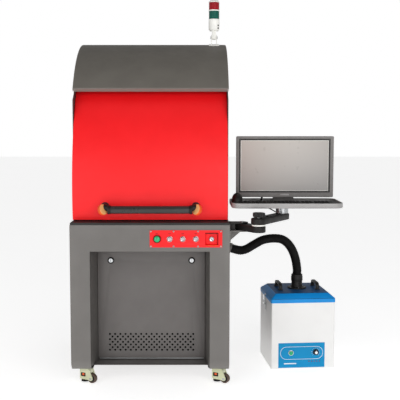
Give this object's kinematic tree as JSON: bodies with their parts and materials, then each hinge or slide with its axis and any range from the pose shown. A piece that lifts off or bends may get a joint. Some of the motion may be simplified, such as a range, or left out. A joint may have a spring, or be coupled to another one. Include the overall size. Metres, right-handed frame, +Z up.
{
  "type": "enclosed laser engraver",
  "caption": "Enclosed laser engraving cabinet on levelling casters with a curved lift-up door, signal lamp, swing arm with monitor and keyboard, and a hose-fed fume extractor.",
  "frame": {"origin": "middle of the whole object's footprint, on the floor", "axes": "+Z up, the cabinet's front faces -Y, the swing arm and the extractor are on the +X side"},
  "size_m": [1.3921, 1.0475, 2.0126],
  "materials": {
    "grey_enamel": "satin powder coat",
    "dark_enamel": "satin powder coat",
    "red_enamel": "semi-gloss powder coat",
    "handle_black": "moulded",
    "start_green": "moulded",
    "button_chrome": "polished",
    "key_black": "moulded",
    "caster_cream": "moulded nylon",
    "caster_wheel": "moulded polyurethane",
    "foot_rubber": "moulded",
    "table_aluminium": "machined",
    "scan_head": "black anodised",
    "arm_black": "textured paint",
    "knob_black": "moulded",
    "tray_metal": "brushed and polished",
    "monitor_grey": "moulded",
    "keys_black": "moulded",
    "lamp_white": "moulded",
    "extractor_white": "textured powder coat",
    "extractor_blue": "semi-gloss powder coat",
    "extractor_knob": "moulded",
    "extractor_green": "moulded",
    "filter_felt": "pleated felt",
    "hose_rubber": "ribbed"
  },
  "bodies": {
    "cabinet": {"base_fascia": "grey_enamel", "base_side_left": "grey_enamel", "base_side_right": "grey_enamel", "base_back_panel": "grey_enamel", "base_floor": "grey_enamel", "recess_liner": "dark_enamel", "deck": "dark_enamel", "control_plate": "red_enamel", "side_wall_left": "grey_enamel", "side_wall_right": "grey_enamel", "rear_wall": "grey_enamel", "canopy": "grey_enamel", "work_table": "table_aluminium", "z_column": "table_aluminium", "laser_source": "dark_enamel", "arm_bracket": "grey_enamel", "tower_foot": "lamp_white", "extractor_body": "extractor_white", "extractor_filter": "filter_felt", "extractor_lid": "extractor_blue", "hose": "hose_rubber"},
    "swivel_front_left": {"caster_housing_front_left": "caster_cream"},
    "wheel_front_left": {"caster_wheel_front_left": "caster_wheel"},
    "foot_front_left": {"level_foot_front_left": "foot_rubber"},
    "swivel_rear_left": {"caster_housing_rear_left": "caster_cream"},
    "wheel_rear_left": {"caster_wheel_rear_left": "caster_wheel"},
    "foot_rear_left": {"level_foot_rear_left": "foot_rubber"},
    "swivel_front_right": {"caster_housing_front_right": "caster_cream"},
    "wheel_front_right": {"caster_wheel_front_right": "caster_wheel"},
    "foot_front_right": {"level_foot_front_right": "foot_rubber"},
    "swivel_rear_right": {"caster_housing_rear_right": "caster_cream"},
    "wheel_rear_right": {"caster_wheel_rear_right": "caster_wheel"},
    "foot_rear_right": {"level_foot_rear_right": "foot_rubber"},
    "door": {"door_panel": "red_enamel", "door_handle": "handle_black", "door_arm_left": "dark_enamel", "door_arm_right": "dark_enamel"},
    "scan_carriage": {"scan_head": "scan_head"},
    "front_panel": {"access_panel": "grey_enamel"},
    "lock_left": {"panel_lock_left": "button_chrome"},
    "lock_right": {"panel_lock_right": "button_chrome"},
    "start_cap": {"start_button": "start_green"},
    "push_cap_1": {"push_button_1": "button_chrome"},
    "push_cap_2": {"push_button_2": "button_chrome"},
    "push_cap_3": {"push_button_3": "button_chrome"},
    "key_rotor": {"key_switch": "key_black"},
    "lower_arm": {"lower_link": "arm_black"},
    "upper_arm": {"upper_link": "arm_black"},
    "knob": {"clamp_knob": "knob_black"},
    "desk": {"tray": "tray_metal", "monitor_stand": "monitor_grey", "keyboard": "keys_black", "mouse": "keys_black", "monitor_cable": "hose_rubber"},
    "display": {"monitor": "monitor_grey"},
    "lamp": {"tower_lamp": "lamp_white"},
    "speed_knob": {"extractor_knob": "extractor_knob"},
    "extractor_cap": {"extractor_button": "extractor_green"},
    "toggle_left": {"extractor_latch_left": "button_chrome"},
    "toggle_right": {"extractor_latch_right": "button_chrome"}
  },
  "joints": [
    {"name": "caster_swivel_front_left", "type": "hinge", "parent": "cabinet", "child": "swivel_front_left", "pos_m": [-0.6313, -0.35625, 0.05], "axis": [0, 0, 1], "continuous": true},
    {"name": "caster_roll_front_left", "type": "hinge", "parent": "swivel_front_left", "child": "wheel_front_left", "pos_m": [-0.59157, -0.37738, 0.025], "axis": [0.4695, 0.8829, 0], "continuous": true},
    {"name": "level_screw_front_left", "type": "slide", "parent": "swivel_front_left", "child": "foot_front_left", "axis": [0, 0, -1], "range_m": [0, 0.012]},
    {"name": "caster_swivel_rear_left", "type": "hinge", "parent": "cabinet", "child": "swivel_rear_left", "pos_m": [-0.6313, 0.42375, 0.05], "axis": [0, 0, 1], "continuous": true},
    {"name": "caster_roll_rear_left", "type": "hinge", "parent": "swivel_rear_left", "child": "wheel_rear_left", "pos_m": [-0.59157, 0.40262, 0.025], "axis": [0.4695, 0.8829, 0], "continuous": true},
    {"name": "level_screw_rear_left", "type": "slide", "parent": "swivel_rear_left", "child": "foot_rear_left", "axis": [0, 0, -1], "range_m": [0, 0.012]},
    {"name": "caster_swivel_front_right", "type": "hinge", "parent": "cabinet", "child": "swivel_front_right", "pos_m": [0.0527, -0.35625, 0.05], "axis": [0, 0, 1], "continuous": true},
    {"name": "caster_roll_front_right", "type": "hinge", "parent": "swivel_front_right", "child": "wheel_front_right", "pos_m": [0.09243, -0.37738, 0.025], "axis": [0.4695, 0.8829, 0], "continuous": true},
    {"name": "level_screw_front_right", "type": "slide", "parent": "swivel_front_right", "child": "foot_front_right", "axis": [0, 0, -1], "range_m": [0, 0.012]},
    {"name": "caster_swivel_rear_right", "type": "hinge", "parent": "cabinet", "child": "swivel_rear_right", "pos_m": [0.0527, 0.42375, 0.05], "axis": [0, 0, 1], "continuous": true},
    {"name": "caster_roll_rear_right", "type": "hinge", "parent": "swivel_rear_right", "child": "wheel_rear_right", "pos_m": [0.09243, 0.40262, 0.025], "axis": [0.4695, 0.8829, 0], "continuous": true},
    {"name": "level_screw_rear_right", "type": "slide", "parent": "swivel_rear_right", "child": "foot_rear_right", "axis": [0, 0, -1], "range_m": [0, 0.012]},
    {"name": "door_lift", "type": "hinge", "parent": "cabinet", "child": "door", "pos_m": [-0.2893, 0.39375, 0.98], "axis": [-1, 0, 0], "range_deg": [0, 33]},
    {"name": "z_axis", "type": "slide", "parent": "cabinet", "child": "scan_carriage", "axis": [0, 0, 1], "range_m": [-0.15, 0.08]},
    {"name": "access_panel_out", "type": "slide", "parent": "cabinet", "child": "front_panel", "axis": [0, -1, 0], "range_m": [0, 0.25]},
    {"name": "panel_lock_turn_left", "type": "hinge", "parent": "front_panel", "child": "lock_left", "pos_m": [-0.4993, -0.29825, 0.6265], "axis": [0, -1, 0], "range_deg": [0, 90]},
    {"name": "panel_lock_turn_right", "type": "hinge", "parent": "front_panel", "child": "lock_right", "pos_m": [-0.0793, -0.29825, 0.6265], "axis": [0, -1, 0], "range_deg": [0, 90]},
    {"name": "start_press", "type": "slide", "parent": "cabinet", "child": "start_cap", "axis": [0, 1, 0], "range_m": [0, 0.004], "stiffness_N_per_m": 300, "springref_m": -0.002},
    {"name": "push_press_1", "type": "slide", "parent": "cabinet", "child": "push_cap_1", "axis": [0, 1, 0], "range_m": [0, 0.004], "stiffness_N_per_m": 300, "springref_m": -0.002},
    {"name": "push_press_2", "type": "slide", "parent": "cabinet", "child": "push_cap_2", "axis": [0, 1, 0], "range_m": [0, 0.004], "stiffness_N_per_m": 300, "springref_m": -0.002},
    {"name": "push_press_3", "type": "slide", "parent": "cabinet", "child": "push_cap_3", "axis": [0, 1, 0], "range_m": [0, 0.004], "stiffness_N_per_m": 300, "springref_m": -0.002},
    {"name": "key_turn", "type": "hinge", "parent": "cabinet", "child": "key_rotor", "pos_m": [0.0197, -0.45625, 0.76], "axis": [0, -1, 0], "range_deg": [0, 90]},
    {"name": "arm_shoulder", "type": "hinge", "parent": "cabinet", "child": "lower_arm", "pos_m": [0.1753, -0.38125, 0.815], "axis": [0, 0, 1], "range_deg": [-35, 0]},
    {"name": "arm_elbow", "type": "hinge", "parent": "lower_arm", "child": "upper_arm", "pos_m": [0.2507, -0.48625, 0.853], "axis": [0, 0, 1], "range_deg": [-60, 0]},
    {"name": "clamp_knob_turn", "type": "hinge", "parent": "upper_arm", "child": "knob", "pos_m": [0.2507, -0.48625, 0.885], "axis": [0, 0, 1], "continuous": true},
    {"name": "tray_swivel", "type": "hinge", "parent": "upper_arm", "child": "desk", "pos_m": [0.3907, -0.26125, 0.89], "axis": [0, 0, 1], "range_deg": [-4, 6]},
    {"name": "monitor_tilt", "type": "hinge", "parent": "desk", "child": "display", "pos_m": [0.4042, -0.19025, 1.1], "axis": [-1, 0, 0], "range_deg": [-5, 20]},
    {"name": "lamp_fold", "type": "hinge", "parent": "cabinet", "child": "lamp", "pos_m": [0.0447, 0.09375, 1.808], "axis": [-1, 0, 0], "range_deg": [0, 90]},
    {"name": "extractor_speed", "type": "hinge", "parent": "cabinet", "child": "speed_knob", "pos_m": [0.59755, -0.1289, 0.093], "axis": [0.0872, -0.9962, 0], "range_deg": [0, 270]},
    {"name": "extractor_press", "type": "slide", "parent": "cabinet", "child": "extractor_cap", "axis": [-0.0872, 0.9962, 0], "range_m": [0, 0.004], "stiffness_N_per_m": 300, "springref_m": -0.002},
    {"name": "latch_left", "type": "hinge", "parent": "cabinet", "child": "toggle_left", "pos_m": [0.3294, 0.0218, 0.33], "axis": [0.0872, -0.9962, 0], "range_deg": [0, 120]},
    {"name": "latch_right", "type": "hinge", "parent": "cabinet", "child": "toggle_right", "pos_m": [0.694, 0.0537, 0.33], "axis": [-0.0872, 0.9962, 0], "range_deg": [0, 120]}
  ]
}
